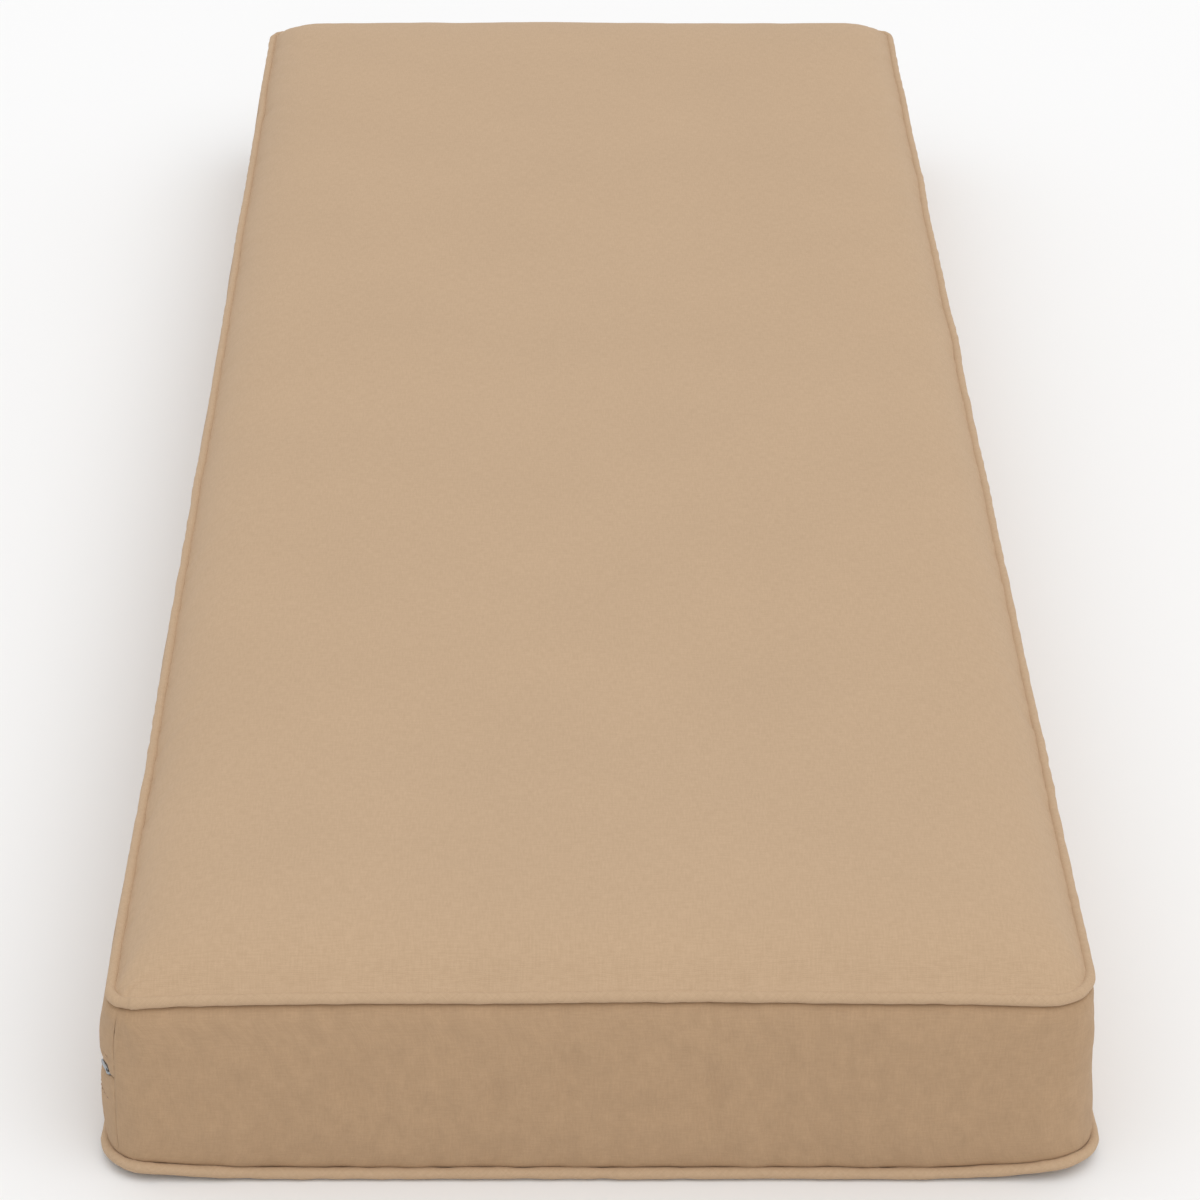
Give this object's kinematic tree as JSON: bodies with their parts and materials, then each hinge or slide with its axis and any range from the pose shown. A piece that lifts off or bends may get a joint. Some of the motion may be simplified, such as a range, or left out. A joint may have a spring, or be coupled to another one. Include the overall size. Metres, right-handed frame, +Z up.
{
  "type": "bench cushion",
  "caption": "Long box-edge bench cushion with a crowned top, corded piping round both seams, upright corner seams and a zip let into one long side.",
  "frame": {"origin": "on the underside, at the middle of the bounding box", "axes": "+Z up through the pad, from its flat underside to its crown; +Y along its length, from the front end to the back end; +X across its width; the zip is on the -X side"},
  "size_m": [0.4736, 1.2376, 0.125],
  "materials": {
    "cover_cloth": "matt heathered canvas in a warm tan, plain weave with lighter and darker flecks",
    "piping_cloth": "the same tan canvas, cut on the bias and sewn round a cord",
    "zip_tape": "matt woven tape and coil, dyed close to the cover",
    "zip_metal": "plain nickel-grey metal, softly polished"
  },
  "bodies": {
    "root": {"cushion_pad": "cover_cloth", "piping_top": "piping_cloth", "piping_base": "piping_cloth", "zip_strip_upper": "cover_cloth", "zip_strip_lower": "cover_cloth", "zip_chain": "zip_tape", "zip_slider": "zip_metal", "zip_pull": "zip_metal"}
  },
  "joints": []
}
